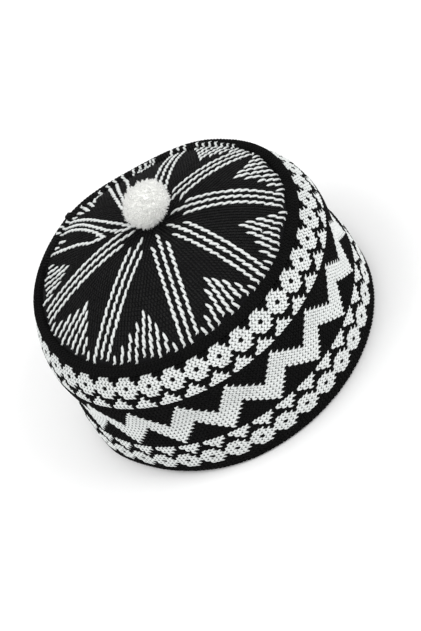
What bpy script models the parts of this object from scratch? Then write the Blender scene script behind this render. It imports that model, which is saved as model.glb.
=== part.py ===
"""Knitted prayer cap: a flared side band on a turned hem, a rolled ridge, a domed crown and a pompom.

The cap stands on its hem. +Z is up, the origin is the middle of the hem on the surface it rests on,
and -Y is the front. Everything is in metres.
"""

import bmesh
import bpy
from math import atan2, cos, degrees, exp, hypot, pi, radians, sin

MM = 0.001

# Driving sizes of the cap
HEM_RADIUS = 90.5 * MM
RIDGE_HEIGHT = 83.4 * MM
RIDGE_RADIUS = 78.3 * MM
CROWN_RISE = 21.0 * MM
CLOTH = 2.8 * MM
GAP = 0.3 * MM

# Facets around the cap, a multiple of the nine spokes of the crown
AROUND = 72
BAND_STEPS = 10
CROWN_STEPS = 10

# The side band's outline: share of the ridge's height, outer radius as a share of the hem's
BAND_OUTLINE = (
    (0.00, 0.998),
    (0.25, 1.000),
    (0.50, 0.962),
    (0.72, 0.975),
    (0.88, 0.940),
    (1.00, 0.872),
)

# How the soft ridge lies: azimuth in degrees, rise, push outwards
RIDGE_LIE = (
    (-150, 0.0 * MM, 0.5 * MM),
    (-90, 0.0 * MM, 0.0 * MM),
    (0, 0.0 * MM, 1.0 * MM),
    (40, -3.0 * MM, 1.0 * MM),
    (75, -5.5 * MM, 0.0 * MM),
    (115, 0.0 * MM, 0.0 * MM),
    (150, 0.5 * MM, 0.0 * MM),
    (180, 0.0 * MM, 0.0 * MM),
)
LIE_STARTS = 15.0 * MM
LIE_FULL = 78.0 * MM

# The hem's section: distance in from the hem's radius, height
HEM_HEIGHT = 4.2 * MM
HEM_SECTION = (
    (0.9 * MM, 0.0 * MM),
    (0.2 * MM, 0.9 * MM),
    (0.0 * MM, 2.4 * MM),
    (0.1 * MM, HEM_HEIGHT),
    (2.9 * MM, HEM_HEIGHT),
    (3.3 * MM, 2.4 * MM),
    (3.1 * MM, 0.9 * MM),
    (2.5 * MM, 0.0 * MM),
)

# The rolled welt along the ridge
WELT_RADIUS = 2.8 * MM
WELT_SIDES = 10
WELT_CENTRE_IN = 0.8 * MM
WELT_CENTRE_DOWN = 0.2 * MM
BAND_TOP_DOWN = 2.25 * MM

# The crown's edge, its dome and the gathers around its middle
CROWN_EDGE_IN = WELT_CENTRE_IN + WELT_RADIUS + GAP
CROWN_EDGE_UP = 1.1 * MM
CROWN_CENTRE = (6.5 * MM, 1.0 * MM)
DOME_POWER = 2.3
DIMPLE_DEPTH = 2.4 * MM
DIMPLE_RADIUS = 12.0 * MM
GATHER_DEPTH = 1.1 * MM
GATHER_RADIUS = 34.0 * MM

# Azimuths in degrees of the nine spokes, where the gathers stand highest
SPOKES = (-146, -103, -63, -24, 17, 56, 89, 121, 170)

# The dart that takes up the crown's join: azimuth and half width in degrees, depth,
# and where it starts and dies out as shares of the reach from the crown's middle to its edge
DART_AZIMUTH = 149.0
DART_HALF_WIDTH = 8.0
DART_DEPTH = 1.2 * MM
DART_START = 0.35
DART_DEEPEST = 0.9

# The pompom: a ball of short locks that leans over on a flattened seat
POMPOM_HEAD_RADIUS = 11.8 * MM
LOCK_LENGTH = 1.6 * MM
LOCK_UNEVEN = 0.4 * MM
LOCK_UNEVEN_TURN = 2.4
POMPOM_LEAN = (2.0 * MM, -1.5 * MM)
POMPOM_CENTRE_UP = 12.4 * MM
SEAT_REACH = 8.0 * MM

# Colour, roughness and metallic value of each yarn
BLACK_YARN = ((0.012, 0.012, 0.014, 1.0), 0.92, 0.0)
PATTERN_YARN = ((0.35, 0.36, 0.36, 1.0), 0.92, 0.0)
WHITE_YARN = ((0.86, 0.87, 0.85, 1.0), 0.95, 0.0)


def smooth_step(value):
    """Ease from 0 to 1 as value goes from 0 to 1."""
    share = min(max(value, 0.0), 1.0)
    return share * share * (3.0 - 2.0 * share)


def curve_through(rows, at):
    """Read a smooth curve through rows of (position, value) by cubic segments."""
    last = len(rows) - 1
    index = 0
    while index < last - 1 and at > rows[index + 1][0]:
        index += 1
    start, end = rows[index], rows[index + 1]
    span = end[0] - start[0]
    share = (at - start[0]) / span
    before = rows[max(index - 1, 0)]
    after = rows[min(index + 2, last)]
    slope_in = (end[1] - before[1]) / (end[0] - before[0]) * span
    slope_out = (after[1] - start[1]) / (after[0] - start[0]) * span
    square = share * share
    cube = square * share
    return (
        (2 * cube - 3 * square + 1) * start[1]
        + (cube - 2 * square + share) * slope_in
        + (3 * square - 2 * cube) * end[1]
        + (cube - square) * slope_out
    )


def turn_between(first, second):
    """Signed angle in degrees from one azimuth to another, within half a turn."""
    return (second - first + 180.0) % 360.0 - 180.0


def ridge_lie(azimuth):
    """Rise and outward push of the ridge at an azimuth in degrees, eased between the rows."""
    for start, end in zip(RIDGE_LIE, RIDGE_LIE[1:] + RIDGE_LIE[:1]):
        span = (end[0] - start[0]) % 360.0
        along = (azimuth - start[0]) % 360.0
        if along < span:
            share = smooth_step(along / span)
            return (start[1] + (end[1] - start[1]) * share, start[2] + (end[2] - start[2]) * share)
    return RIDGE_LIE[0][1:]


def settle(x, y, z):
    """Move a point of the ideal cap to where the soft ridge really lies."""
    radius = hypot(x, y)
    rise, push = ridge_lie(degrees(atan2(y, x)))
    weight = smooth_step((z - LIE_STARTS) / (LIE_FULL - LIE_STARTS)) * min(radius / RIDGE_RADIUS, 1.0)
    stretch = 1.0 + push * weight / RIDGE_RADIUS
    return (x * stretch, y * stretch, z + rise * weight)


def band_radius(height):
    """Outer radius of the side band at a height."""
    return HEM_RADIUS * curve_through(BAND_OUTLINE, height / RIDGE_HEIGHT)


def band_inset(height, depth):
    """Point depth below the band's outer face, square to it, as (radius, height)."""
    step = 0.5 * MM
    slope = (band_radius(height + step) - band_radius(height - step)) / (2 * step)
    length = hypot(1.0, slope)
    return (band_radius(height) - depth / length, height + depth * slope / length)


def gather_at(azimuth):
    """How deep the crown dips between two spokes, from 0 on a spoke to 1 midway."""
    ahead = min((spoke - azimuth) % 360.0 for spoke in SPOKES)
    behind = min((azimuth - spoke) % 360.0 for spoke in SPOKES)
    if min(ahead, behind) == 0.0:
        return 0.0
    return 0.5 - 0.5 * cos(2 * pi * ahead / (ahead + behind))


def dart_at(azimuth, reach):
    """How deep the join's dart is at a place on the crown, from 0 to 1."""
    aside = turn_between(DART_AZIMUTH, azimuth) / DART_HALF_WIDTH
    deepening = smooth_step((reach - DART_START) / (DART_DEEPEST - DART_START))
    dying_out = 1.0 - smooth_step((reach - DART_DEEPEST) / (1.0 - DART_DEEPEST))
    return exp(-aside * aside) * deepening * dying_out


def crown_point(azimuth, reach, depth):
    """Point on the crown: reach is 0 at its middle and 1 at its edge, depth is below its outer face."""
    edge_radius = RIDGE_RADIUS - CROWN_EDGE_IN
    edge_height = RIDGE_HEIGHT + CROWN_EDGE_UP
    angle = radians(azimuth)
    radius = edge_radius * reach
    out_of_middle = 1.0 - reach * reach
    x = radius * cos(angle) + CROWN_CENTRE[0] * out_of_middle
    y = radius * sin(angle) + CROWN_CENTRE[1] * out_of_middle
    height = edge_height + CROWN_RISE * (1.0 - reach ** DOME_POWER)
    height -= DIMPLE_DEPTH * exp(-((radius / DIMPLE_RADIUS) ** 2))
    fade = smooth_step(radius / DIMPLE_RADIUS) * (1.0 - smooth_step(radius / GATHER_RADIUS))
    height -= GATHER_DEPTH * gather_at(azimuth) * fade
    height -= DART_DEPTH * dart_at(azimuth, reach)
    return settle(x, y, height - depth)


def make_material(name, yarn):
    """Plain yarn material from a (colour, roughness, metallic) row."""
    colour, roughness, metallic = yarn
    material = bpy.data.materials.new(name)
    material.use_nodes = True
    shader = material.node_tree.nodes["Principled BSDF"]
    shader.inputs["Base Color"].default_value = colour
    shader.inputs["Roughness"].default_value = roughness
    shader.inputs["Metallic"].default_value = metallic
    return material


def add_piece(name, mesh_data, yarn, sharp_degrees=60.0):
    """Turn a bmesh into one smooth-shaded object with its own material."""
    bmesh.ops.recalc_face_normals(mesh_data, faces=mesh_data.faces[:])
    mesh = bpy.data.meshes.new(name)
    mesh_data.to_mesh(mesh)
    mesh_data.free()
    mesh.shade_smooth()
    mesh.set_sharp_from_angle(angle=radians(sharp_degrees))
    mesh.materials.append(make_material(name + "_yarn", yarn))
    piece = bpy.data.objects.new(name, mesh)
    bpy.context.scene.collection.objects.link(piece)
    return piece


def ring_of(section, settled=True):
    """Closed ring swept around the cap from a closed section of (radius, height) points."""
    mesh_data = bmesh.new()
    loops = []
    for index in range(AROUND):
        angle = 2 * pi * index / AROUND
        places = [(radius * cos(angle), radius * sin(angle), height) for radius, height in section]
        if settled:
            places = [settle(*place) for place in places]
        loops.append([mesh_data.verts.new(place) for place in places])
    for index in range(AROUND):
        here, there = loops[index], loops[(index + 1) % AROUND]
        for corner in range(len(section)):
            follow = (corner + 1) % len(section)
            mesh_data.faces.new((here[corner], there[corner], there[follow], here[follow]))
    return mesh_data


def make_hem():
    """Turned edge that the cap rests on, with a flat underside."""
    section = [(HEM_RADIUS - inward, height) for inward, height in HEM_SECTION]
    return add_piece("hem", ring_of(section, settled=False), BLACK_YARN)


def make_side_band():
    """Double-knit wall between the hem and the ridge, flared and a little waisted."""
    bottom = HEM_HEIGHT + GAP
    top = RIDGE_HEIGHT - BAND_TOP_DOWN
    heights = [bottom + (top - bottom) * step / BAND_STEPS for step in range(BAND_STEPS + 1)]
    outside = [(band_radius(height), height) for height in heights]
    inside = [band_inset(height, CLOTH) for height in reversed(heights)]
    inside[-1] = (inside[-1][0], bottom)
    return add_piece("side_band", ring_of(outside + inside), PATTERN_YARN)


def make_ridge_welt():
    """Rolled welt where the crown is joined to the side band."""
    centre_radius = RIDGE_RADIUS - WELT_CENTRE_IN
    centre_height = RIDGE_HEIGHT - WELT_CENTRE_DOWN
    section = []
    for side in range(WELT_SIDES):
        angle = 2 * pi * side / WELT_SIDES
        section.append((centre_radius + WELT_RADIUS * cos(angle), centre_height + WELT_RADIUS * sin(angle)))
    return add_piece("ridge_welt", ring_of(section), BLACK_YARN)


def make_crown():
    """Domed top panel, gathered at its middle, as a hollow shell of even thickness."""
    mesh_data = bmesh.new()
    edges = []
    for depth in (0.0, CLOTH):
        middle = mesh_data.verts.new(crown_point(0.0, 0.0, depth))
        loops = []
        for step in range(1, CROWN_STEPS + 1):
            reach = step / CROWN_STEPS
            places = [crown_point(360.0 * index / AROUND, reach, depth) for index in range(AROUND)]
            loops.append([mesh_data.verts.new(place) for place in places])
        for index in range(AROUND):
            follow = (index + 1) % AROUND
            mesh_data.faces.new((middle, loops[0][index], loops[0][follow]))
            for inner, outer in zip(loops, loops[1:]):
                mesh_data.faces.new((inner[index], outer[index], outer[follow], inner[follow]))
        edges.append(loops[-1])
    upper, lower = edges
    for index in range(AROUND):
        follow = (index + 1) % AROUND
        mesh_data.faces.new((upper[index], lower[index], lower[follow], upper[follow]))
    return add_piece("crown", mesh_data, BLACK_YARN)


def pompom_seat():
    """Height of the pompom's flattened seat, just clear of the crown as far out as it reaches."""
    reach = SEAT_REACH / (RIDGE_RADIUS - CROWN_EDGE_IN)
    heights = [crown_point(360.0 * index / AROUND, reach, 0.0)[2] for index in range(AROUND)]
    return max(heights) + GAP


def make_pompom():
    """Ball of short pointed locks, all fused to one head."""
    mesh_data = bmesh.new()
    bmesh.ops.create_icosphere(mesh_data, subdivisions=3, radius=POMPOM_HEAD_RADIUS)
    for index, face in enumerate(mesh_data.faces[:]):
        length = LOCK_LENGTH + LOCK_UNEVEN * sin(index * LOCK_UNEVEN_TURN)
        bmesh.ops.poke(mesh_data, faces=[face], offset=length)
    seat = pompom_seat()
    centre = (
        CROWN_CENTRE[0] + POMPOM_LEAN[0],
        CROWN_CENTRE[1] + POMPOM_LEAN[1],
        seat + POMPOM_CENTRE_UP,
    )
    for vertex in mesh_data.verts:
        vertex.co.x += centre[0]
        vertex.co.y += centre[1]
        vertex.co.z = max(vertex.co.z + centre[2], seat)
    return add_piece("pompom", mesh_data, WHITE_YARN, sharp_degrees=30.0)


def main():
    """Clear the scene and make every piece of the cap."""
    for item in list(bpy.data.objects):
        bpy.data.objects.remove(item, do_unlink=True)
    make_hem()
    make_side_band()
    make_ridge_welt()
    make_crown()
    make_pompom()


main()
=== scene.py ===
"""The dressed prayer cap: knitted stitches laid in courses on its walls, and a pompom of short locks.

Everything is in metres, in the part's own frame: the cap stands on its hem, +Z is up and -Y is the front.
"""

import random
from math import atan2, cos, degrees, exp, hypot, pi, radians, sin

import bmesh
import bpy
from mathutils import Matrix, Vector

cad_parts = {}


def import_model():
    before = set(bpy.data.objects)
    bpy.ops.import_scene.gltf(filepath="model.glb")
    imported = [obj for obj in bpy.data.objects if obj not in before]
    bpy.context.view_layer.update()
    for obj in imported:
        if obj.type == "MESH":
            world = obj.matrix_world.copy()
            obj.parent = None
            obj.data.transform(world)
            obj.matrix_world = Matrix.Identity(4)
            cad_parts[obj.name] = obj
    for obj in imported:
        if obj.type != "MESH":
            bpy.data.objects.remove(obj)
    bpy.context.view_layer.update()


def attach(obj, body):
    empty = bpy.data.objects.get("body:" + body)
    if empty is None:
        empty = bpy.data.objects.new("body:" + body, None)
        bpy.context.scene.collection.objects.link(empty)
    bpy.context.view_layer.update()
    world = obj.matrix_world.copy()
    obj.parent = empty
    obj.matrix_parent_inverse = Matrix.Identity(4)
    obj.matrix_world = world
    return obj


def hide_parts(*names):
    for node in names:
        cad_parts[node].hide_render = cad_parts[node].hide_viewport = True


MM = 0.001

# Driving sizes of the cap, as in the part
HEM_RADIUS = 90.5 * MM
RIDGE_HEIGHT = 83.4 * MM
RIDGE_RADIUS = 78.3 * MM
CROWN_RISE = 21.0 * MM
CLOTH = 2.8 * MM
GAP = 0.3 * MM

# The side band's outline: share of the ridge's height, outer radius as a share of the hem's
BAND_OUTLINE = (
    (0.00, 0.998),
    (0.25, 1.000),
    (0.50, 0.962),
    (0.72, 0.975),
    (0.88, 0.940),
    (1.00, 0.872),
)

# How the soft ridge lies: azimuth in degrees, rise, push outwards
RIDGE_LIE = (
    (-150, 0.0, 0.5 * MM),
    (-90, 0.0, 0.0),
    (0, 0.0, 1.0 * MM),
    (40, -3.0 * MM, 1.0 * MM),
    (75, -5.5 * MM, 0.0),
    (115, 0.0, 0.0),
    (150, 0.5 * MM, 0.0),
    (180, 0.0, 0.0),
)
LIE_STARTS = 15.0 * MM
LIE_FULL = 78.0 * MM

# The hem's section: distance in from the hem's radius, height
HEM_HEIGHT = 4.2 * MM
HEM_SECTION = (
    (0.9 * MM, 0.0),
    (0.2 * MM, 0.9 * MM),
    (0.0, 2.4 * MM),
    (0.1 * MM, HEM_HEIGHT),
    (2.9 * MM, HEM_HEIGHT),
    (3.3 * MM, 2.4 * MM),
    (3.1 * MM, 0.9 * MM),
    (2.5 * MM, 0.0),
)

# Its first rows are the outside: height, distance in
HEM_OUTSIDE_ROWS = 4
HEM_OUTSIDE = tuple((height, inward) for inward, height in HEM_SECTION[:HEM_OUTSIDE_ROWS])

# Where the foot of the wall tucks in or bulges: azimuth, half width in degrees, how far in, how far up
FOOT_LIE = (
    (-143, 38, 2.2 * MM, 5.0 * MM),
    (-172, 24, -1.9 * MM, 32.0 * MM),
)

# The rolled welt along the ridge
WELT_RADIUS = 2.8 * MM
WELT_CENTRE_IN = 0.8 * MM
WELT_CENTRE_DOWN = 0.2 * MM
WELT_SIDES = 20
BAND_TOP_DOWN = 2.25 * MM

# The crown's edge, its dome, and the gathers around its middle
CROWN_EDGE_RADIUS = RIDGE_RADIUS - WELT_CENTRE_IN - WELT_RADIUS - GAP
CROWN_EDGE_UP = 1.1 * MM
CROWN_CENTRE = (6.5 * MM, 1.0 * MM)
DOME_POWER = 2.3
DIMPLE_DEPTH = 2.4 * MM
DIMPLE_RADIUS = 12.0 * MM
GATHER_DEPTH = 1.1 * MM
GATHER_RADIUS = 34.0 * MM
SPOKES = (-146, -103, -63, -24, 17, 56, 89, 121, 170)
DART_AZIMUTH = 149.0
DART_HALF_WIDTH = 8.0
DART_DEPTH = 1.2 * MM
DART_START = 0.35
DART_DEEPEST = 0.9

# The knitting: courses around, rows down, width of a course, and how far the wall behind it is sunk
AROUND = 228
LAST_ROW = 34
COURSE_PITCH = 2.45 * MM
WALL_SUNK = 0.25 * MM

# Azimuth of the first course, and how far the courses lean between two shares of the way down, in degrees
FIRST_COURSE_AZIMUTH = -87.0
COURSE_LEAN = 4.8
LEAN_START = 0.20
LEAN_END = 0.90

# Where the rows lie on the band: row, share of the way down from the ridge
ROW_PLACES = (
    (0, 0.0115),
    (3, 0.0885),
    (8, 0.2215),
    (11, 0.2975),
    (17, 0.5025),
    (23, 0.6625),
    (29, 0.8265),
    (35, 1.0),
)

# Motifs of the band: first row, widths of the rows in stitches, middle course, repeat, white inside
MOTIFS = (
    (1, (3, 5, 7, 5, 3), 0, 6, True),
    (6, (1, 3, 5), 3, 6, True),
    (11, (1, 3, 5, 7, 9, 11), 3, 12, True),
    (17, (1, 3, 5, 7, 9, 11), 3, 12, False),
    (24, (5, 3, 1), 3, 6, True),
    (27, (3, 5, 7, 5, 3), 0, 6, True),
)
FLOWER_EYE_ROWS = (3, 29)

# Rows of each piece of the band: name, first row, last row
BAND_PIECES = (
    ("upper_flowers", 1, 9),
    ("zigzag", 10, 22),
    ("lower_flowers", 23, 34),
)


def smooth_step(value):
    """Ease from 0 to 1 as value goes from 0 to 1."""
    share = min(max(value, 0.0), 1.0)
    return share * share * (3.0 - 2.0 * share)


def curve_through(rows, at):
    """Read a smooth curve through rows of (position, value) by cubic segments."""
    last = len(rows) - 1
    index = 0
    while index < last - 1 and at > rows[index + 1][0]:
        index += 1
    start, end = rows[index], rows[index + 1]
    span = end[0] - start[0]
    share = (at - start[0]) / span
    before = rows[max(index - 1, 0)]
    after = rows[min(index + 2, last)]
    slope_in = (end[1] - before[1]) / (end[0] - before[0]) * span
    slope_out = (after[1] - start[1]) / (after[0] - start[0]) * span
    square = share * share
    cube = square * share
    return (
        (2 * cube - 3 * square + 1) * start[1]
        + (cube - 2 * square + share) * slope_in
        + (3 * square - 2 * cube) * end[1]
        + (cube - square) * slope_out
    )


def turn_between(first, second):
    """Signed angle in degrees from one azimuth to another, within half a turn."""
    return (second - first + 180.0) % 360.0 - 180.0


def ridge_lie(azimuth):
    """Rise and outward push of the ridge at an azimuth in degrees, eased between the rows."""
    for start, end in zip(RIDGE_LIE, RIDGE_LIE[1:] + RIDGE_LIE[:1]):
        span = (end[0] - start[0]) % 360.0
        along = (azimuth - start[0]) % 360.0
        if along < span:
            share = smooth_step(along / span)
            return (start[1] + (end[1] - start[1]) * share, start[2] + (end[2] - start[2]) * share)
    return RIDGE_LIE[0][1:]


def foot_lie(azimuth, z):
    """How far the foot of the wall lies in at an azimuth in degrees and a height."""
    inward = 0.0
    for middle, half_width, depth, top in FOOT_LIE:
        beside = smooth_step(abs(turn_between(middle, azimuth)) / half_width)
        inward += depth * (1.0 - beside) * (1.0 - smooth_step(z / top))
    return inward


def settle(x, y, z):
    """Move a point of the ideal cap to where the soft ridge and the hem really lie."""
    radius = hypot(x, y)
    azimuth = degrees(atan2(y, x))
    rise, push = ridge_lie(azimuth)
    weight = smooth_step((z - LIE_STARTS) / (LIE_FULL - LIE_STARTS)) * min(radius / RIDGE_RADIUS, 1.0)
    stretch = 1.0 + push * weight / RIDGE_RADIUS - foot_lie(azimuth, z) / HEM_RADIUS
    return Vector((x * stretch, y * stretch, z + rise * weight))


def on_ring(azimuth, radius, height):
    """Settled point at an azimuth in degrees, a radius and a height."""
    angle = radians(azimuth)
    return settle(radius * cos(angle), radius * sin(angle), height)


def band_radius(height):
    """Outer radius of the side band at a height."""
    return HEM_RADIUS * curve_through(BAND_OUTLINE, height / RIDGE_HEIGHT)


def band_inset(height, depth):
    """Point depth below the band's outer face, square to it, as (radius, height)."""
    step = 0.5 * MM
    slope = (band_radius(height + step) - band_radius(height - step)) / (2 * step)
    length = hypot(1.0, slope)
    return (band_radius(height) - depth / length, height + depth * slope / length)


def gather_at(azimuth):
    """How deep the crown dips between two spokes, from 0 on a spoke to 1 midway."""
    ahead = min((spoke - azimuth) % 360.0 for spoke in SPOKES)
    behind = min((azimuth - spoke) % 360.0 for spoke in SPOKES)
    if min(ahead, behind) == 0.0:
        return 0.0
    return 0.5 - 0.5 * cos(2 * pi * ahead / (ahead + behind))


def dart_at(azimuth, reach):
    """How deep the join's dart is at a place on the crown, from 0 to 1."""
    aside = turn_between(DART_AZIMUTH, azimuth) / DART_HALF_WIDTH
    deepening = smooth_step((reach - DART_START) / (DART_DEEPEST - DART_START))
    dying_out = 1.0 - smooth_step((reach - DART_DEEPEST) / (1.0 - DART_DEEPEST))
    return exp(-aside * aside) * deepening * dying_out


def crown_point(azimuth, reach, depth):
    """Point on the crown: reach is 0 at its middle and 1 at its edge, depth is below its outer face."""
    angle = radians(azimuth)
    radius = CROWN_EDGE_RADIUS * reach
    out_of_middle = 1.0 - reach * reach
    x = radius * cos(angle) + CROWN_CENTRE[0] * out_of_middle
    y = radius * sin(angle) + CROWN_CENTRE[1] * out_of_middle
    height = RIDGE_HEIGHT + CROWN_EDGE_UP + CROWN_RISE * (1.0 - reach ** DOME_POWER)
    height -= DIMPLE_DEPTH * exp(-((radius / DIMPLE_RADIUS) ** 2))
    fade = smooth_step(radius / DIMPLE_RADIUS) * (1.0 - smooth_step(radius / GATHER_RADIUS))
    height -= GATHER_DEPTH * gather_at(azimuth) * fade
    height -= DART_DEPTH * dart_at(azimuth, reach)
    return settle(x, y, height - depth)


# Shader nodes written as expressions


class Yarn:
    """One socket of a material's node tree, with the arithmetic that the finishes use."""

    def __init__(self, tree, socket):
        self.tree = tree
        self.socket = socket

    def node(self, kind, settings=None, out=0, **inputs):
        """Add a node of a kind: its settings first, then its inputs by name, and return one output."""
        made = self.tree.nodes.new(kind)
        for name, value in (settings or {}).items():
            setattr(made, name, value)
        for name, value in inputs.items():
            key = int(name[5:]) if name.startswith("input") else name.replace("_", " ")
            if isinstance(value, Yarn):
                self.tree.links.new(value.socket, made.inputs[key])
            else:
                made.inputs[key].default_value = value
        return Yarn(self.tree, made.outputs[out])

    def maths(self, operation, first, second=0.0):
        """One Math node."""
        return self.node("ShaderNodeMath", {"operation": operation}, input0=first, input1=second)

    def __add__(self, other):
        return self.maths("ADD", self, other)

    def __radd__(self, other):
        return self.maths("ADD", other, self)

    def __mul__(self, other):
        return self.maths("MULTIPLY", self, other)

    def __rmul__(self, other):
        return self.maths("MULTIPLY", other, self)

    def sine(self):
        return self.maths("SINE", self)

    def between(self, low, high):
        """The value kept between two limits, spread from 0 to 1."""
        limits = {"From_Min": low, "From_Max": high, "To_Min": 0.0, "To_Max": 1.0}
        return self.node("ShaderNodeMapRange", {"clamp": True}, Value=self, **limits)

    def blend(self, dark, light):
        """Colour between two others, by this value."""
        ends = {"input6": dark, "input7": light}
        return self.node("ShaderNodeMix", {"data_type": "RGBA"}, out=2, input0=self, **ends)

    def grain(self, scale, detail=2.0):
        """Noise in the piece's own space, with so many repeats a metre."""
        place = self.node("ShaderNodeTexCoord", out=3)
        return self.node("ShaderNodeTexNoise", Vector=place, Scale=scale, Detail=detail)


# Stitched yarns: dark and light colour, sheen, gloss
YARNS = {
    "black_yarn": ((0.001, 0.001, 0.001, 1.0), (0.009, 0.009, 0.009, 1.0), 0.005, 0.03),
    "white_yarn": ((0.61, 0.635, 0.625, 1.0), (0.80, 0.82, 0.81, 1.0), 0.05, 0.1),
    "crown_black": ((0.001, 0.001, 0.001, 1.0), (0.020, 0.020, 0.020, 1.0), 0.01, 0.05),
    "strand_white": ((0.50, 0.52, 0.51, 1.0), (0.78, 0.80, 0.79, 1.0), 0.05, 0.1),
}
SHEEN_ROUGHNESS = 0.6
PLY_TURNS = 3.0

# Depths of the finest relief
YARN_BUMP = 0.12 * MM
WALL_BUMP = 0.2 * MM
POMPOM_BUMP = 0.15 * MM

# How fine the grain of each thing is, in repeats a metre
FIBRE_GRAIN = 4200.0
DYE_GRAIN = 160.0
WALL_GRAIN = 2600.0
CUT_YARN_GRAIN = 3000.0
TUFT_GRAIN = 420.0
FLOOR_GRAIN = 3.0

# Other colours, dark and light
WALL_BLACK = ((0.003, 0.003, 0.0035, 1.0), (0.010, 0.010, 0.011, 1.0))
# Wall under white stitches: grey for the black floats behind them and painted shade in the gaps between
# stitches
WALL_WHITE_FLOATS_AND_PAINTED_SHADE = ((0.16, 0.17, 0.17, 1.0), (0.42, 0.43, 0.43, 1.0))
POMPOM_WHITE = ((0.945, 0.95, 0.915, 1.0), (0.985, 0.99, 0.96, 1.0))
# Strength of a faint painted glow that brightens the pompom in its own light colour
POMPOM_PAINTED_GLOW = 0.10
FLOOR_WHITE = ((0.90, 0.90, 0.90, 1.0), (0.92, 0.92, 0.92, 1.0))


def new_finish(name, roughness, sheen, gloss=0.1):
    """Empty material with one cloth shader: (material, starting socket wrapper, shader)."""
    material = bpy.data.materials.new(name)
    material.use_nodes = True
    tree = material.node_tree
    shader = tree.nodes["Principled BSDF"]
    shader.inputs["Roughness"].default_value = roughness
    shader.inputs["Specular IOR Level"].default_value = gloss
    shader.inputs["Sheen Weight"].default_value = sheen
    shader.inputs["Sheen Roughness"].default_value = SHEEN_ROUGHNESS
    return material, Yarn(tree, None), shader


def finish_with(start, shader, colour, height, distance):
    """Join a colour and a bump height to the shader."""
    bump = start.node("ShaderNodeBump", Strength=1.0, Distance=distance, Height=height)
    start.tree.links.new(colour.socket, shader.inputs["Base Color"])
    start.tree.links.new(bump.socket, shader.inputs["Normal"])


def stitch_finish(name, dark, light, sheen, gloss):
    """Plied yarn of a stitch: two plies twisted along each strand, with loose fibres and uneven dye."""
    material, start, shader = new_finish(name, roughness=0.9, sheen=sheen, gloss=gloss)
    strand = start.node("ShaderNodeAttribute", {"attribute_name": "strand"}, out=1)
    along = start.node("ShaderNodeSeparateXYZ", Vector=strand)
    around = Yarn(start.tree, along.socket.node.outputs["Y"])
    twist = ((along * PLY_TURNS + around) * (2.0 * pi)).sine() * 0.5 + 0.5
    fibres = start.grain(FIBRE_GRAIN)
    dye = start.grain(DYE_GRAIN, detail=3.0)
    shade = (twist * 0.30 + fibres * 0.45 + dye * 0.5).between(0.25, 0.95)
    finish_with(start, shader, shade.blend(dark, light), twist * 0.6 + fibres * 0.8, YARN_BUMP)
    return material


def wall_finish():
    """Yarn seen between the stitches: black, and grey where the attribute says white, for the black floats
    behind and painted shade in the gaps.
    """
    material, start, shader = new_finish("knitted_wall", roughness=0.95, sheen=0.02)
    white = start.node("ShaderNodeAttribute", {"attribute_name": "white_yarn"}, out=2)
    fibres = start.grain(WALL_GRAIN)
    spread = fibres.between(0.3, 0.7)
    # Under white stitches the wall is grey: black floats behind and painted shade in the gaps
    colour = white.blend(spread.blend(*WALL_BLACK), spread.blend(*WALL_WHITE_FLOATS_AND_PAINTED_SHADE))
    finish_with(start, shader, colour, fibres, WALL_BUMP)
    return material


def pompom_finish():
    """Soft white cut yarn, a little greyer in patches of noise, with a faint painted glow in its light
    colour.
    """
    material, start, shader = new_finish("pompom_yarn", roughness=0.95, sheen=0.8)
    # Painted glow: the pompom gives off a little light of its own colour so it looks brighter
    shader.inputs["Emission Color"].default_value = POMPOM_WHITE[1]
    shader.inputs["Emission Strength"].default_value = POMPOM_PAINTED_GLOW
    fibres = start.grain(CUT_YARN_GRAIN)
    tufts = start.grain(TUFT_GRAIN)
    colour = (fibres * 0.5 + tufts * 0.5).between(0.3, 0.65).blend(*POMPOM_WHITE)
    finish_with(start, shader, colour, fibres, POMPOM_BUMP)
    return material


# Meshes

UP = Vector((0.0, 0.0, 1.0))

# Section of a strand and of a single fibre: across, lift
STRAND_SECTION = ((-1.0, -0.3), (-0.72, 0.6), (0.0, 1.0), (0.72, 0.6), (1.0, -0.3))
FIBRE_SECTION = ((-1.0, -0.5), (0.0, 1.0), (1.0, -0.5))


def put_in(name, data):
    """Object made of some data, in the scene."""
    made = bpy.data.objects.new(name, data)
    bpy.context.scene.collection.objects.link(made)
    return made


def bridge(mesh_data, first, second):
    """Band of faces from one ring of vertices to another."""
    faces = []
    for index in range(len(first)):
        follow = (index + 1) % len(first)
        faces.append(mesh_data.faces.new((first[index], first[follow], second[follow], second[index])))
    return faces


def smooth_piece(name, mesh_data, finish=None):
    """Smooth object from mesh data, which is freed."""
    mesh = bpy.data.meshes.new(name)
    mesh_data.to_mesh(mesh)
    mesh_data.free()
    mesh.shade_smooth()
    if finish:
        mesh.materials.append(finish)
    return put_in(name, mesh)


def add_strand(mesh_data, layer, path, half_width, half_height, swell, section=STRAND_SECTION):
    """Closed spindle of yarn: a tip, a ring at each inner point of its path, and a tip."""
    rings = []
    last = len(path) - 1
    for index in range(1, last):
        ahead = (path[index + 1] - path[index - 1]).normalized()
        side = ahead.cross(UP).normalized()
        fat = swell[index - 1]
        ring = []
        for corner, (across, lift) in enumerate(section):
            place = path[index] + side * (across * half_width * fat) + UP * (lift * half_height * fat)
            vertex = mesh_data.verts.new(place)
            vertex[layer] = Vector((index / last, corner / len(section), 0.0))
            ring.append(vertex)
        rings.append(ring)
    tips = []
    for index in (0, last):
        tip = mesh_data.verts.new(path[index])
        tip[layer] = Vector((index / last, 0.5, 0.0))
        tips.append(tip)
    count = len(section)
    for corner in range(count):
        follow = (corner + 1) % count
        mesh_data.faces.new((tips[0], rings[0][corner], rings[0][follow]))
        for here, there in zip(rings, rings[1:]):
            mesh_data.faces.new((here[corner], there[corner], there[follow], here[follow]))
        mesh_data.faces.new((rings[-1][corner], tips[1], rings[-1][follow]))


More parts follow.
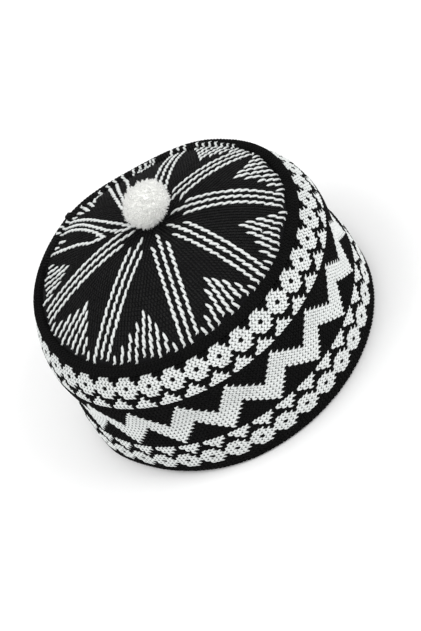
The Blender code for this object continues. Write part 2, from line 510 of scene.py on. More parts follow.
def stitch_shape(name, strands, section=STRAND_SECTION):
    """Small object that a row of stitches repeats, from rows of (path, half width, half height, swell)."""
    mesh_data = bmesh.new()
    layer = mesh_data.verts.layers.float_vector.new("strand")
    for path, half_width, half_height, swell in strands:
        points = [Vector(point) * MM for point in path]
        add_strand(mesh_data, layer, points, half_width * MM, half_height * MM, swell, section)
    bmesh.ops.recalc_face_normals(mesh_data, faces=mesh_data.faces[:])
    shape = smooth_piece(name, mesh_data)
    shape.hide_render = True
    return shape


# Legs of a stitch in millimetres, x along the course: white legs show their tips over the black ones
BLACK_LEG = (
    (-1.45, 0.02, -0.40),
    (-0.95, 0.26, 0.02),
    (0.00, 0.70, 0.14),
    (0.95, 1.18, 0.02),
    (1.70, 1.52, -0.35),
)
WHITE_LEG = (
    (-1.55, 0.02, -0.35),
    (-0.98, 0.27, 0.08),
    (0.00, 0.69, 0.22),
    (0.97, 1.16, 0.16),
    (1.85, 1.66, 0.05),
)
LEG_HALF_HEIGHT = 0.34
LEG_SWELL = (0.88, 1.0, 0.72)


def knit_shape(name, leg, half_width):
    """One knitted stitch: two legs that open ahead."""
    other = [(x, -y, z) for x, y, z in leg]
    return stitch_shape(name, [(path, half_width, LEG_HALF_HEIGHT, LEG_SWELL) for path in (leg, other)])


# Strokes of a crown strand's link in millimetres, x along it: the short one crosses the long one's end
LONG_STROKE = (
    (-3.3, -0.80, -0.20),
    (-1.8, -0.52, 0.16),
    (0.0, 0.00, 0.36),
    (1.8, 0.52, 0.16),
    (3.3, 0.80, -0.20),
)
SHORT_STROKE = (
    (0.9, 0.95, -0.3),
    (1.6, 0.55, 0.0),
    (2.2, 0.00, 0.1),
    (2.8, -0.55, 0.0),
    (3.5, -0.95, -0.3),
)

# One stroke of the crown's black ground
GROUND_STROKE = (
    (-1.6, -0.50, -0.45),
    (-0.8, -0.26, 0.00),
    (0.0, 0.00, 0.12),
    (0.8, 0.26, 0.00),
    (1.6, 0.50, -0.45),
)
STROKE_SWELL = (0.85, 1.0, 0.85)

# A purl bump of the cloth's inside, a short arc, and a fibre of the pompom, a slightly bent spike
PURL_BUMP = ((-1.35, -0.35, -0.35), (-0.55, 0.12, 0.22), (0.55, 0.12, 0.22), (1.35, -0.35, -0.35))
LOCK_FIBRE = ((-0.9, 0.0, 0.0), (0.1, 0.0, 0.0), (1.7, 0.0, 0.1))


def make_shapes():
    """Small objects that the pieces repeat, by name."""
    link = ((LONG_STROKE, 0.84, 0.5, STROKE_SWELL), (SHORT_STROKE, 0.5, 0.42, STROKE_SWELL))
    return {
        "white": knit_shape("white_knit", WHITE_LEG, 0.64),
        "black": knit_shape("black_knit", BLACK_LEG, 0.68),
        "link": stitch_shape("strand_link", link),
        "ground": stitch_shape("ground_stroke", ((GROUND_STROKE, 0.62, 0.36, STROKE_SWELL),)),
        "lock": stitch_shape("lock_fibre", ((LOCK_FIBRE, 0.25, 0.25, (1.0,)),), section=FIBRE_SECTION),
        "bump": stitch_shape("purl_bump", ((PURL_BUMP, 0.62, 0.42, (1.0, 1.0)),), section=FIBRE_SECTION),
    }


# Geometry nodes

# Named inputs of the tree: name, kind of socket
TREE_INPUTS = (
    ("Geometry", "Geometry"),
    ("Stitch", "Object"),
    ("Stitch Scale", "Float"),
    ("Uneven Turn", "Float"),
    ("Uneven Size", "Float"),
    ("Seed", "Int"),
    ("Finish", "Material"),
)
ONES = (1.0, 1.0, 1.0)
MINUS_ONES = (-1.0, -1.0, -1.0)
SIZE_SEED_APART = 7.0


def stitch_tree():
    """Tree that lays a stitch at each point, turned and sized by its attributes and a little uneven."""
    tree = bpy.data.node_groups.new("lay_stitches", "GeometryNodeTree")
    for name, kind in TREE_INPUTS:
        tree.interface.new_socket(name, in_out="INPUT", socket_type="NodeSocket" + kind)
    tree.interface.new_socket("Geometry", in_out="OUTPUT", socket_type="NodeSocketGeometry")
    add, link = tree.nodes.new, tree.links.new
    given = add("NodeGroupInput").outputs
    result = add("NodeGroupOutput")

    def attribute(name):
        node = add("GeometryNodeInputNamedAttribute")
        node.data_type = "FLOAT_VECTOR"
        node.inputs["Name"].default_value = name
        return node.outputs[0]

    def vectors(operation, first, second):
        """Vector Math on plain vectors and links; a scale takes its number second."""
        node = add("ShaderNodeVectorMath")
        node.operation = operation
        for key, value in ((0, first), ("Scale" if operation == "SCALE" else 1, second)):
            if isinstance(value, tuple):
                node.inputs[key].default_value = value
            else:
                link(value, node.inputs[key])
        return node.outputs[0]

    def uneven(limit, seed_apart):
        """Random vector within plus and minus a limit."""
        node = add("FunctionNodeRandomValue")
        node.data_type = "FLOAT_VECTOR"
        link(vectors("SCALE", MINUS_ONES, limit), node.inputs[0])
        link(vectors("SCALE", ONES, limit), node.inputs[1])
        seed = add("ShaderNodeMath")
        seed.inputs[1].default_value = seed_apart
        link(given["Seed"], seed.inputs[0])
        link(seed.outputs[0], node.inputs["Seed"])
        return node.outputs[0]

    def rotation(angles):
        node = add("FunctionNodeEulerToRotation")
        link(angles, node.inputs[0])
        return node.outputs[0]

    shape = add("GeometryNodeObjectInfo")
    link(given["Stitch"], shape.inputs["Object"])
    turned = add("FunctionNodeRotateRotation")
    turned.rotation_space = "LOCAL"
    link(rotation(attribute("turn")), turned.inputs[0])
    link(rotation(uneven(given["Uneven Turn"], 0.0)), turned.inputs[1])
    sized = vectors("SCALE", attribute("size"), given["Stitch Scale"])
    one_off = vectors("ADD", uneven(given["Uneven Size"], SIZE_SEED_APART), ONES)

    laid = add("GeometryNodeInstanceOnPoints")
    link(given["Geometry"], laid.inputs["Points"])
    link(shape.outputs["Geometry"], laid.inputs["Instance"])
    link(turned.outputs[0], laid.inputs["Rotation"])
    link(vectors("MULTIPLY", sized, one_off), laid.inputs["Scale"])
    solid = add("GeometryNodeRealizeInstances")
    link(laid.outputs[0], solid.inputs[0])
    dressed = add("GeometryNodeSetMaterial")
    link(solid.outputs[0], dressed.inputs["Geometry"])
    link(given["Finish"], dressed.inputs["Material"])
    link(dressed.outputs[0], result.inputs[0])
    return tree


def grow(name, base, tree, values, finish):
    """Run a tree over a base object with its named inputs set, and return the result as a plain piece."""
    modifier = base.modifiers.new("grow", "NODES")
    modifier.node_group = tree
    for item in tree.interface.items_tree:
        if item.in_out == "INPUT" and item.name in values:
            modifier[item.identifier] = values[item.name]
    bpy.context.view_layer.update()
    depsgraph = bpy.context.evaluated_depsgraph_get()
    mesh = bpy.data.meshes.new_from_object(base.evaluated_get(depsgraph))
    mesh.name = name
    mesh.materials.clear()
    mesh.materials.append(finish)
    mesh.shade_smooth()
    bpy.data.objects.remove(base, do_unlink=True)
    return put_in(name, mesh)


class Laying:
    """Places where stitches of one piece go, each with its turn and size."""

    def __init__(self):
        self.places = []
        self.turns = []
        self.sizes = []

    def add(self, place, ahead, outward, size=ONES):
        """One stitch at a place, x pointing ahead and z outward."""
        outward = outward.normalized()
        ahead = (ahead - outward * ahead.dot(outward)).normalized()
        across = outward.cross(ahead)
        turn = Matrix((ahead, across, outward)).transposed().to_euler()
        self.places.append(tuple(place))
        self.turns.extend(turn)
        self.sizes.extend(size)

    def knit(self, name, shape, tree, finish, seed, scale=1.0, uneven_turn=0.05, uneven_size=0.06):
        """Lay the stitches and return them as one piece."""
        mesh = bpy.data.meshes.new(name + "_places")
        mesh.from_pydata(self.places, [], [])
        for label, values in (("turn", self.turns), ("size", self.sizes)):
            attribute = mesh.attributes.new(label, "FLOAT_VECTOR", "POINT")
            attribute.data.foreach_set("vector", values)
        values = {
            "Stitch": shape,
            "Stitch Scale": scale,
            "Uneven Turn": uneven_turn,
            "Uneven Size": uneven_size,
            "Seed": seed,
            "Finish": finish,
        }
        return grow(name, put_in(name + "_places", mesh), tree, values, finish)


def add_wall(name, loops, finish, whiteness=None):
    """Closed surface through rings of points, the last joined to the first."""
    mesh_data = bmesh.new()
    layer = mesh_data.faces.layers.float.new("white_yarn")
    rings = [[mesh_data.verts.new(place) for place in loop] for loop in loops]
    for number, ring in enumerate(rings):
        for index, face in enumerate(bridge(mesh_data, ring, rings[(number + 1) % len(rings)])):
            face[layer] = whiteness(number, index) if whiteness else 0.0
    bmesh.ops.recalc_face_normals(mesh_data, faces=mesh_data.faces[:])
    return smooth_piece(name, mesh_data, finish)


# The side band

# Height kept free above the hem inside, and the least share between the wall's last two rings
INSIDE_CLEAR = 1.0 * MM
LAST_RING_CLEAR = 0.005


def row_share(row):
    """Share of the way from the ridge to the hem at the middle of a row."""
    return curve_through(ROW_PLACES, row)


def course_azimuth(course, share):
    """Azimuth in degrees of a course, which leans as it goes down."""
    lean = COURSE_LEAN * smooth_step((share - LEAN_START) / (LEAN_END - LEAN_START))
    return FIRST_COURSE_AZIMUTH + 360.0 * course / AROUND + lean


def is_white(course, row):
    """Whether the chart has white yarn at a course and row of the band."""
    for first, widths, middle, repeat, white_inside in MOTIFS:
        if first <= row < first + len(widths):
            aside = abs((course - middle + repeat / 2) % repeat - repeat / 2)
            inside = aside <= (widths[row - first] - 1) / 2
            if row in FLOWER_EYE_ROWS and (course - middle) % repeat == 0:
                return False
            return inside == white_inside
    return False


def band_place(course, share, proud=0.0):
    """Point of the band's outer face, moved out by proud."""
    height = RIDGE_HEIGHT * (1.0 - share)
    if height < HEM_HEIGHT:
        radius = HEM_RADIUS - curve_through(HEM_OUTSIDE, height) + proud
    else:
        radius, height = band_inset(height, -proud)
    return on_ring(course_azimuth(course, share), radius, height)


def inner_place(course, share):
    """Point of the band's inner face."""
    radius, height = band_inset(RIDGE_HEIGHT * (1.0 - share), CLOTH)
    return on_ring(course_azimuth(course, share), radius, height)


def frame_of(place, course, share, step=0.01):
    """Point of a surface, with its directions ahead along the course and outward by small steps."""
    ahead = place(course + 0.5, share) - place(course - 0.5, share)
    upward = place(course, share - step) - place(course, share + step)
    return place(course, share), ahead, ahead.cross(upward)


def lay_rows(place, rows, side=1.0):
    """White and black stitches of some rows, on the band's outside or, where side is -1, its inside."""
    layings = {True: Laying(), False: Laying()}
    for row in rows:
        share = row_share(row)
        for course in range(AROUND):
            here, ahead, outward = frame_of(place, course, share)
            size = (ahead.length / COURSE_PITCH, 1.0, 1.0)
            layings[is_white(course, row)].add(here, ahead * side, outward * side, size)
    return layings[True], layings[False]


def lay_band(shapes, tree, black, white):
    """Every stitch of the band and the hem, in black and white pieces."""
    pieces = []
    for number, (name, first, last) in enumerate(BAND_PIECES):
        whites, blacks = lay_rows(band_place, range(first, last + 1))
        pieces.append(whites.knit(name + "_white", shapes["white"], tree, white, seed=11 + number))
        pieces.append(blacks.knit(name + "_black", shapes["black"], tree, black, seed=21 + number))
    return pieces


def lay_band_inside(bump, tree, black, white):
    """Purl bumps of the band's inside, each in the yarn of its stitch."""
    lowest = RIDGE_HEIGHT - HEM_HEIGHT - INSIDE_CLEAR
    rows = [row for row in range(1, LAST_ROW + 1) if BAND_TOP_DOWN < RIDGE_HEIGHT * row_share(row) < lowest]
    whites, blacks = lay_rows(inner_place, rows, side=-1.0)
    return [
        whites.knit("inside_white", bump, tree, white, seed=61),
        blacks.knit("inside_black", bump, tree, black, seed=62),
    ]


def make_band_wall(finish):
    """Wall behind the band's stitches, marked white where they are white, which its finish paints grey with
    painted shade.
    """
    lowest = 1.0 - (HEM_HEIGHT + GAP) / RIDGE_HEIGHT
    shares = [BAND_TOP_DOWN / RIDGE_HEIGHT]
    rows = [0]
    for row in range(1, LAST_ROW):
        edge = row_share(row + 0.5)
        if edge < lowest - LAST_RING_CLEAR:
            shares.append(edge)
            rows.append(row + 1)
    shares.append(lowest)
    courses = [course - 0.5 for course in range(AROUND)]
    loops = [[band_place(course, share, -WALL_SUNK) for course in courses] for share in shares]
    for share in reversed(shares):
        radius, height = band_inset(RIDGE_HEIGHT * (1.0 - share), CLOTH)
        height = min(max(height, HEM_HEIGHT + GAP), RIDGE_HEIGHT - BAND_TOP_DOWN)
        loops.append([on_ring(course_azimuth(course, share), radius, height) for course in courses])

    def whiteness(ring, course):
        return float(ring < len(rows) and is_white(course, max(rows[ring], 1)))

    return add_wall("band_wall", loops, finish, whiteness)


# The hem and the welt

WELT_SUNK = 0.2 * MM

# Rows of stitches on the welt, in degrees round its section, and the width of their stitches
WELT_ROW_TURNS = (3.0, 50.0, 97.0, 144.0)
WELT_STEP = 3.0
WELT_STITCH_WIDTH = 0.95


def make_hem_wall(finish):
    """Turned edge under the band."""
    loops = []
    for number, (inward, height) in enumerate(HEM_SECTION):
        radius = HEM_RADIUS - inward - (WALL_SUNK if number < HEM_OUTSIDE_ROWS else 0.0)
        loops.append([on_ring(360.0 * index / AROUND, radius, height) for index in range(AROUND)])
    return add_wall("hem_wall", loops, finish)


def welt_section(angle, proud):
    """Radius and height of a point of the welt's section, at an angle up from outward."""
    radius = RIDGE_RADIUS - WELT_CENTRE_IN + (WELT_RADIUS + proud) * cos(angle)
    return radius, RIDGE_HEIGHT - WELT_CENTRE_DOWN + (WELT_RADIUS + proud) * sin(angle)


def welt_place(course, turn, proud=0.0):
    """Point of the welt: turn is in degrees round its section, 0 outward and 90 up."""
    return on_ring(course_azimuth(course, 0.0), *welt_section(radians(turn), proud))


def make_welt_wall(finish):
    """Roll of cloth along the ridge."""
    loops = []
    for side in range(WELT_SIDES):
        turn = 360.0 * side / WELT_SIDES
        loops.append([welt_place(course, turn, -WELT_SUNK) for course in range(AROUND)])
    return add_wall("welt_wall", loops, finish)


def lay_welt(shape, tree, black):
    """Rows of stitches over the welt."""
    laying = Laying()
    for turn in WELT_ROW_TURNS:
        for course in range(AROUND):
            here, ahead, outward = frame_of(welt_place, course, turn, step=-WELT_STEP)
            laying.add(here, ahead, outward, (ahead.length / COURSE_PITCH, WELT_STITCH_WIDTH, 1.0))
    return laying.knit("welt_stitches", shape, tree, black, seed=31)


# The crown

CROWN_RINGS = 30
CROWN_SUNK = 0.35 * MM
CROWN_STEP = 0.5 * MM

# Strands: length of a link, distance between strands, how far they stand out, and the steps of their paths
STRAND_PITCH = 4.4 * MM
STRAND_SPACING = 4.4 * MM
STRANDS_PROUD = 0.25 * MM
SPOKE_STEPS = 8
PATH_PIECES = 12

# Where the strands of a spoke and of a wedge start, as shares of the crown's radius, and where they end
SPOKE_STARTS = (0.25, 0.15, 0.27)
WEDGE_STARTS = (0.95, 0.90, 0.84, 0.77, 0.69, 0.74, 0.81, 0.88, 0.95)
SPOKE_END = 0.985

# Columns of knitting between two spokes, and those that the strands of a wedge lie on
COLUMNS_BETWEEN = 24
FIRST_WEDGE_COLUMN = 4
WEDGE_COLUMNS_APART = 2

# Rings of the black ground and of the underside
GROUND_START = 2.5 * MM
GROUND_PITCH = 1.9 * MM
GROUND_RING_PITCH = 2.1 * MM
GROUND_CLEAR = 1.0 * MM
UNDERSIDE_START = 3.0 * MM
UNDERSIDE_CLEAR = 1.5 * MM

# Straight spokes of three strands: azimuth at the edge in degrees, how far they bow aside midway
STRAIGHT_SPOKES = ((-146, 0.0), (-103, 0.0), (-63, 0.0), (-24, 3.0), (17, 0.0), (56, 0.0), (170, 0.0))

# Wedges of strands between two spokes: azimuth of the spoke before and of the one after
WEDGES = ((-146, -103), (-103, -63), (-63, -24), (-24, 17), (14, 53), (170, 214))

# Strands that the crown's join pulls askew, one row each, as (reach, azimuth in degrees) from the middle out
PULLED_STRANDS = (
    ((0.22, 118), (0.40, 106), (0.65, 97), (1.00, 91.2)),
    ((0.30, 105), (0.44, 98.5), (0.68, 92), (1.00, 87.5)),
    ((0.40, 92), (0.62, 86), (0.83, 83.6), (1.00, 83.5)),
    ((0.15, 150), (0.22, 139), (0.37, 130), (0.55, 123), (0.76, 118), (1.00, 115)),
    ((0.19, 151), (0.28, 148), (0.40, 139), (0.55, 129), (0.74, 122), (1.00, 118.3)),
    ((0.40, 148.5), (0.51, 136), (0.65, 128.5), (0.87, 122.8), (1.00, 121.6)),
    ((0.40, 148.5), (0.53, 146), (0.67, 140), (0.81, 137), (1.00, 133)),
    ((0.43, 143), (0.50, 139.5)),
    ((0.98, 79.8), (1.055, 77.7)),
    ((0.96, 77.5), (1.055, 74.3)),
    ((0.93, 75.5), (1.055, 71.5)),
    ((0.96, 72.5), (1.05, 69.4)),
    ((0.98, 70), (1.055, 67.5)),
    ((0.93, 102), (1.00, 95.5)),
    ((0.86, 103.5), (1.00, 99)),
    ((0.78, 107.5), (1.00, 102.3)),
    ((0.79, 111), (1.00, 105.6)),
    ((0.86, 112), (1.00, 109)),
    ((0.93, 113.5), (1.00, 112.2)),
    ((0.86, 130), (0.97, 127)),
    ((0.93, 131.5), (0.99, 129.5)),
    ((0.92, 142), (0.98, 141)),
    ((0.86, 145.5), (0.98, 144.2)),
    ((0.79, 149), (0.98, 147.4)),
    ((0.73, 153), (0.98, 150.8)),
    ((0.77, 156.5), (0.98, 154.2)),
    ((0.82, 159.5), (0.98, 157.6)),
    ((0.90, 162), (0.98, 161)),
)

# How far strands run on over the welt at the back: azimuth in degrees, length
RUN_OVER = (
    (14, 0.0),
    (28, 1.9 * MM),
    (47, 3.4 * MM),
    (60, 4.4 * MM),
    (64, 0.0),
    (81, 0.0),
    (83, 4.2 * MM),
    (87.5, 4.2 * MM),
    (91, 3.0 * MM),
    (95, 1.4 * MM),
    (110, 1.4 * MM),
    (114, 2.6 * MM),
    (118, 3.7 * MM),
    (124, 4.0 * MM),
    (131, 2.0 * MM),
    (138, 0.0),
)

# Where the crown's ground swells over the welt: azimuth in degrees, length past the crown's edge
GROUND_OVER = (
    (10, 0.0),
    (30, 3.6 * MM),
    (54, 6.2 * MM),
    (132, 6.2 * MM),
    (144, 0.0),
)
GROUND_OVER_PROUD = 0.1 * MM

# Length of a link over the welt, as a share of one on the crown
LINK_OVER_WELT = 0.5

# Where the crown's skin steps over to the welt: degrees round the welt's section, and the length of the step
WELT_FOOT_TURN = 150.0
WELT_FOOT_GAP = 0.7 * MM

# Black knot of the crown's join, over the welt: reach, azimuth, and its sizes as shares of a ground stitch
JOIN_KNOT = (
    (1.060, 112.5, (1.2, 2.4, 3.4)),
    (1.068, 111.5, (1.0, 2.2, 3.0)),
)
KNOT_PROUD = 0.4 * MM


def run_over(azimuth, rows=RUN_OVER):
    """Length that the knitting at an azimuth runs on over the welt."""
    azimuth = turn_between(0.0, azimuth)
    for start, end in zip(rows, rows[1:]):
        if start[0] <= azimuth <= end[0]:
            return start[1] + (end[1] - start[1]) * (azimuth - start[0]) / (end[0] - start[0])
    return 0.0


def crown_skin(azimuth, reach, proud):
    """Point on the crown, or past its edge on the welt."""
    if reach <= 1.0:
        return crown_point(azimuth, reach, -proud)
    past = (reach - 1.0) * CROWN_EDGE_RADIUS - WELT_FOOT_GAP
    turn = radians(WELT_FOOT_TURN) - max(past, 0.0) / WELT_RADIUS
    foot = on_ring(azimuth, *welt_section(turn, proud))
    if past >= 0.0:
        return foot
    return crown_point(azimuth, 1.0, -proud).lerp(foot, 1.0 + past / WELT_FOOT_GAP)


def make_crown_wall(finish):
    """Domed panel behind the crown's stitches, with its underside."""
    mesh_data = bmesh.new()
    mesh_data.faces.layers.float.new("white_yarn")
    edges = []
    for depth in (CROWN_SUNK, CLOTH):
        middle = mesh_data.verts.new(crown_point(0.0, 0.0, depth))
        loops = []
        for step in range(1, CROWN_RINGS + 1):
            reach = step / CROWN_RINGS
            places = [crown_point(360.0 * index / AROUND, reach, depth) for index in range(AROUND)]
            loops.append([mesh_data.verts.new(place) for place in places])
        for index in range(AROUND):
            mesh_data.faces.new((middle, loops[0][index - 1], loops[0][index]))
        for inner, outer in zip(loops, loops[1:]):
            bridge(mesh_data, inner, outer)
        edges.append(loops[-1])
    bridge(mesh_data, *edges)
    bmesh.ops.recalc_face_normals(mesh_data, faces=mesh_data.faces[:])
    return smooth_piece("crown_wall", mesh_data, finish)


def crown_frame(flat_x, flat_y, aim_x, aim_y, proud):
    """Place, direction and outward normal on the crown, from a point and an aim on its flat plan."""
    length = hypot(aim_x, aim_y)
    unit_x, unit_y = aim_x / length, aim_y / length

    def at(along, aside):
        x = flat_x + unit_x * along - unit_y * aside
        y = flat_y + unit_y * along + unit_x * aside
        return crown_skin(degrees(atan2(y, x)), hypot(x, y) / CROWN_EDGE_RADIUS, proud)

    ahead = at(CROWN_STEP, 0.0) - at(-CROWN_STEP, 0.0)
    across = at(0.0, CROWN_STEP) - at(0.0, -CROWN_STEP)
    return at(0.0, 0.0), ahead, ahead.cross(across)


def lay_along(laying, path):
    """Links of a strand along a path of flat points, evenly spaced over the dome."""
    travelled = 0.0
    next_link = STRAND_PITCH / 2
    for (x0, y0), (x1, y1) in zip(path, path[1:]):
        piece_length = hypot(x1 - x0, y1 - y0) / PATH_PIECES
        for piece in range(PATH_PIECES):
            share = (piece + 0.5) / PATH_PIECES
            x, y = x0 + (x1 - x0) * share, y0 + (y1 - y0) * share
            here, ahead, outward = crown_frame(x, y, x1 - x0, y1 - y0, STRANDS_PROUD)
            travelled += piece_length * (ahead.length / (2 * CROWN_STEP))
            if travelled >= next_link:
                length = LINK_OVER_WELT if hypot(x, y) > CROWN_EDGE_RADIUS * SPOKE_END else 1.0
                laying.add(here, ahead, outward, (length, 1.0, 1.0))
                next_link += STRAND_PITCH * length


def polar(reach, azimuth):
    """Flat point of the crown's plan from its reach and azimuth in degrees."""
    angle = radians(azimuth)
    radius = CROWN_EDGE_RADIUS * reach
    return (radius * cos(angle), radius * sin(angle))


def edge_reach(azimuth):
    """Reach at which a strand at an azimuth ends."""
    past = run_over(azimuth)
    return 1.0 + past / CROWN_EDGE_RADIUS if past > 0.0 else SPOKE_END


def spoke_path(azimuth, bow, aside, start):
    """Path beside a spoke's middle line, bowed a little aside midway."""
    end = edge_reach(azimuth)
    points = []
    for step in range(SPOKE_STEPS + 1):
        reach = start + (end - start) * step / SPOKE_STEPS
        radius = CROWN_EDGE_RADIUS * reach
        angle = radians(azimuth + bow * sin(pi * min(reach, 1.0)))
        points.append((radius * cos(angle) - aside * sin(angle), radius * sin(angle) + aside * cos(angle)))
    return points


def crown_strands():
    """Paths of all white strands on the crown, from the middle outward."""
    paths = []
    for azimuth, bow in STRAIGHT_SPOKES:
        for number, start in zip((-1, 0, 1), SPOKE_STARTS):
            paths.append(spoke_path(azimuth, bow, number * STRAND_SPACING, start))
    for before, after in WEDGES:
        for number, start in enumerate(WEDGE_STARTS):
            column = FIRST_WEDGE_COLUMN + WEDGE_COLUMNS_APART * number
            at = before + (after - before) * column / COLUMNS_BETWEEN
            paths.append([polar(start, at), polar(edge_reach(at), at)])
    for rows in PULLED_STRANDS:
        path = [polar(*row) for row in rows]
        last_reach, azimuth = rows[-1]
        if last_reach == 1.0 and run_over(azimuth) > 0.0:
            path.append(polar(edge_reach(azimuth), azimuth))
        paths.append(path)
    return paths


def ring_places(radius, end, rings_apart, pitch, stagger=0.0):
    """Radius and azimuth of places in rings round the crown's middle, every other ring staggered."""
    ring = 0
    while radius < end:
        count = round(2 * pi * radius / pitch)
        for index in range(count):
            yield radius, 360.0 * (index + stagger * (ring % 2)) / count
        radius += rings_apart
        ring += 1


def lay_crown(shapes, tree, black, white):
    """White strands and black ground of the crown."""
    strands = Laying()
    for path in crown_strands():
        lay_along(strands, path)
    ground = Laying()
    end = CROWN_EDGE_RADIUS + max(length for azimuth, length in GROUND_OVER)
    for radius, azimuth in ring_places(GROUND_START, end, GROUND_RING_PITCH, GROUND_PITCH, stagger=0.5):
        past = radius - CROWN_EDGE_RADIUS
        if past <= run_over(azimuth, GROUND_OVER) - GROUND_CLEAR:
            x, y = polar(radius / CROWN_EDGE_RADIUS, azimuth)
            ground.add(*crown_frame(x, y, x, y, GROUND_OVER_PROUD if past > 0.0 else 0.0))
    for reach, azimuth, size in JOIN_KNOT:
        x, y = polar(reach, azimuth)
        ground.add(*crown_frame(x, y, x, y, KNOT_PROUD), size)
    return [
        strands.knit("crown_strands", shapes["link"], tree, white, 41, uneven_turn=0.08, uneven_size=0.10),
        ground.knit("crown_ground", shapes["ground"], tree, black, 42, uneven_turn=0.22, uneven_size=0.20),
    ]


def lay_crown_inside(bump, tree, black):
    """Rings of purl bumps on the crown's underside."""
    laying = Laying()
    end = CROWN_EDGE_RADIUS - UNDERSIDE_CLEAR
    for radius, azimuth in ring_places(UNDERSIDE_START, end, COURSE_PITCH, COURSE_PITCH):
        x, y = polar(radius / CROWN_EDGE_RADIUS, azimuth)
        here, ahead, outward = crown_frame(x, y, -y, x, -CLOTH)
        laying.add(here, ahead, -outward)
    return laying.knit("crown_underside", bump, tree, black, seed=63)


# The pompom

POMPOM_LEAN = (2.0 * MM, -1.5 * MM)
POMPOM_CENTRE_UP = 12.4 * MM
POMPOM_CORE_RADIUS = 11.8 * MM
CORE_LUMP = 0.3 * MM
SEAT_REACH = 8.0 * MM
SEAT_CLEAR = 0.4 * MM

# Locks and their fibres: how many, how their places and leans scatter, and their lengths
LOCKS = 1300
LOCK_FIBRES = 14
LOCK_LENGTH = 1.5 * MM
LOCK_SCATTER = 0.035
LOCK_LEAN = 0.25
FIBRE_SCATTER = 0.055
SHORT_LOCK = (0.75, 1.10)
LONG_LOCK = (1.30, 1.80)
SHORT_LOCK_SHARE = 0.75
FIBRE_LENGTH = (0.8, 1.1)
GOLDEN_TURN = pi * (3.0 - 5.0 ** 0.5)

# Where the ball bulges or falls away: direction, share of its radius
POMPOM_LUMPS = (
    ((-0.61, -0.54, -0.57), -0.07),
    ((0.12, -0.68, -0.72), -0.18),
    ((0.79, -0.43, -0.43), -0.12),
    ((0.93, 0.26, 0.26), 0.11),
    ((-0.27, 0.66, 0.70), -0.06),
    ((-0.85, 0.36, 0.38), -0.02),
)


def pompom_centre():
    """Middle of the pompom's ball, and the height of its seat."""
    reach = SEAT_REACH / CROWN_EDGE_RADIUS
    seat = max(crown_point(5.0 * index, reach, 0.0).z for index in range(72)) + GAP
    middle = (CROWN_CENTRE[0] + POMPOM_LEAN[0], CROWN_CENTRE[1] + POMPOM_LEAN[1], seat + POMPOM_CENTRE_UP)
    return Vector(middle), seat


def pompom_radius(out):
    """Radius of the ball's head in a direction."""
    swell = sum(amount * max(out.dot(Vector(way)), 0.0) ** 3 for way, amount in POMPOM_LUMPS)
    return POMPOM_CORE_RADIUS * (1.0 + swell)


def make_pompom_core(finish):
    """Head of the pompom that the locks grow from."""
    centre, seat = pompom_centre()
    mesh_data = bmesh.new()
    bmesh.ops.create_icosphere(mesh_data, subdivisions=5, radius=1.0)
    for vertex in mesh_data.verts:
        out = vertex.co.normalized()
        lump = sin(out.x * 13.0 + 1.0 + 2.0 * sin(out.z * 6.0)) * sin(out.y * 12.0 + 2.0 * sin(out.x * 5.0))
        vertex.co = centre + out * (pompom_radius(out) + lump * CORE_LUMP)
        vertex.co.z = max(vertex.co.z, seat)
    return smooth_piece("pompom_core", mesh_data, finish)


def any_way(chance):
    """Random offset in any direction."""
    return Vector([chance.gauss(0.0, 1.0) for _ in range(3)])


def lay_locks(shape, tree, finish):
    """Locks all over the ball: the fibres of each lean together to its tip."""
    centre, seat = pompom_centre()
    chance = random.Random(5)
    laying = Laying()
    for index in range(LOCKS):
        z = 1.0 - 2.0 * (index + 0.5) / LOCKS
        flat = (1.0 - z * z) ** 0.5
        angle = GOLDEN_TURN * index
        even = Vector((flat * cos(angle), flat * sin(angle), z))
        out = (even + any_way(chance) * LOCK_SCATTER).normalized()
        ahead = (out + any_way(chance) * LOCK_LEAN).normalized()
        length = chance.uniform(*(SHORT_LOCK if chance.random() < SHORT_LOCK_SHARE else LONG_LOCK))
        radius = pompom_radius(out)
        tip = centre + out * radius + ahead * (length * LOCK_LENGTH)
        for _ in range(LOCK_FIBRES):
            place = centre + (out + any_way(chance) * FIBRE_SCATTER).normalized() * radius
            if place.z < seat + SEAT_CLEAR:
                continue
            along = tip - place
            laying.add(place, along, along.orthogonal(), (length * chance.uniform(*FIBRE_LENGTH), 1.0, 1.0))
    return laying.knit("pompom_locks", shape, tree, finish, seed=51, uneven_turn=0.12, uneven_size=0.1)


# Stage, lights and camera

CAMERA_DISTANCE = 1.0347
CAMERA_ELEVATION = 43.41
CAMERA_ROLL = 37.83
CAMERA_LENS = 105.19
CAMERA_SENSOR = 36.0
CAMERA_CLIP = (0.05, 20.0)
CAMERA_TARGET = Vector((0.0, 0.0, 0.0417))
METRES_A_PIXEL = 0.5612 * MM
TARGET_LEFT_PIXELS = 13.7
TARGET_UP_PIXELS = 18.6
FLOOR_REACH = 6.0
SURROUNDINGS_STRENGTH = 0.92

# Lights: name, place from the target as metres right, up, backward and overhead, side in metres, power
LIGHTS = (
    ("key", (0.9, 0.7, 1.0, 0.6), 0.9, 12.0),
    ("fill", (-1.3, 0.1, 0.7, 0.3), 1.2, 9.0),
)


def camera_axes():
    """Right, up and backward directions of the photograph's camera."""
    elevation, roll = radians(CAMERA_ELEVATION), radians(CAMERA_ROLL)
    across = Vector((1.0, 0.0, 0.0))
    upright = Vector((0.0, sin(elevation), cos(elevation)))
    back = Vector((0.0, -cos(elevation), sin(elevation)))
    right = across * cos(roll) - upright * sin(roll)
    up = across * sin(roll) + upright * cos(roll)
    return right, up, back


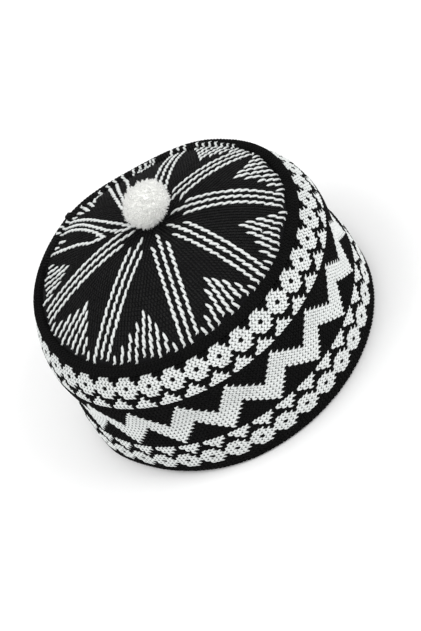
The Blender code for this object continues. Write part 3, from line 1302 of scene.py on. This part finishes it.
def make_camera():
    """Camera at the photograph's angle to the cap."""
    right, up, back = camera_axes()
    aim = CAMERA_TARGET + right * (TARGET_LEFT_PIXELS * METRES_A_PIXEL)
    aim = aim - up * (TARGET_UP_PIXELS * METRES_A_PIXEL)
    data = bpy.data.cameras.new("camera")
    data.lens = CAMERA_LENS
    data.sensor_width = CAMERA_SENSOR
    data.clip_start, data.clip_end = CAMERA_CLIP
    camera = put_in("camera", data)
    turn = Matrix((right, up, back)).transposed().to_4x4()
    camera.matrix_world = Matrix.Translation(aim + back * CAMERA_DISTANCE) @ turn
    bpy.context.scene.camera = camera


def add_light(name, place, side, power):
    """Square soft light that points at the cap."""
    data = bpy.data.lights.new(name, "AREA")
    data.shape = "SQUARE"
    data.size = side
    data.energy = power
    light = put_in(name, data)
    light.location = place
    light.rotation_euler = (CAMERA_TARGET - place).to_track_quat("-Z", "Y").to_euler()


def make_stage():
    """Pale floor, pale surroundings and soft lights."""
    material, start, shader = new_finish("pale_floor", roughness=0.9, sheen=0.0)
    colour = start.grain(FLOOR_GRAIN).between(0.3, 0.7).blend(*FLOOR_WHITE)
    start.tree.links.new(colour.socket, shader.inputs["Base Color"])
    mesh = bpy.data.meshes.new("floor")
    corners = ((-1, -1), (1, -1), (1, 1), (-1, 1))
    mesh.from_pydata([(x * FLOOR_REACH, y * FLOOR_REACH, 0.0) for x, y in corners], [], [(0, 1, 2, 3)])
    mesh.materials.append(material)
    floor = put_in("floor", mesh)
    world = bpy.data.worlds.new("studio")
    world.use_nodes = True
    background = world.node_tree.nodes["Background"].inputs
    background["Color"].default_value = (1.0, 1.0, 1.0, 1.0)
    background["Strength"].default_value = SURROUNDINGS_STRENGTH
    bpy.context.scene.world = world
    bpy.context.scene.view_settings.view_transform = "Standard"
    right, up, back = camera_axes()
    for name, (rightward, upward, backward, overhead), side, power in LIGHTS:
        offset = right * rightward + up * upward + back * backward + UP * overhead
        add_light(name, CAMERA_TARGET + offset, side, power)


def main():
    """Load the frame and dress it."""
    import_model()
    make_camera()
    make_stage()

    black, white, ground_black, strand_white = (stitch_finish(name, *yarn) for name, yarn in YARNS.items())
    wall = wall_finish()
    fluffy = pompom_finish()
    tree = stitch_tree()
    shapes = make_shapes()

    dressed = [
        ("side_band", make_band_wall(wall), ("side_band",)),
        ("hem", make_hem_wall(wall), ("hem",)),
        ("ridge_welt", make_welt_wall(wall), ("ridge_welt",)),
        ("crown", make_crown_wall(wall), ("crown",)),
        ("pompom", make_pompom_core(fluffy), ("pompom",)),
        ("ridge_welt", lay_welt(shapes["black"], tree, black), ()),
        ("pompom", lay_locks(shapes["lock"], tree, fluffy), ()),
        ("crown", lay_crown_inside(shapes["bump"], tree, black), ()),
    ]
    dressed += [("side_band", piece, ()) for piece in lay_band_inside(shapes["bump"], tree, black, white)]
    dressed += [("side_band", piece, ()) for piece in lay_band(shapes, tree, black, white)]
    dressed += [("crown", piece, ()) for piece in lay_crown(shapes, tree, ground_black, strand_white)]
    for shape in shapes.values():
        bpy.data.objects.remove(shape, do_unlink=True)
    for slot, piece, replaced in dressed:
        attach(piece, "root")
        if replaced:
            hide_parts(*replaced)


main()
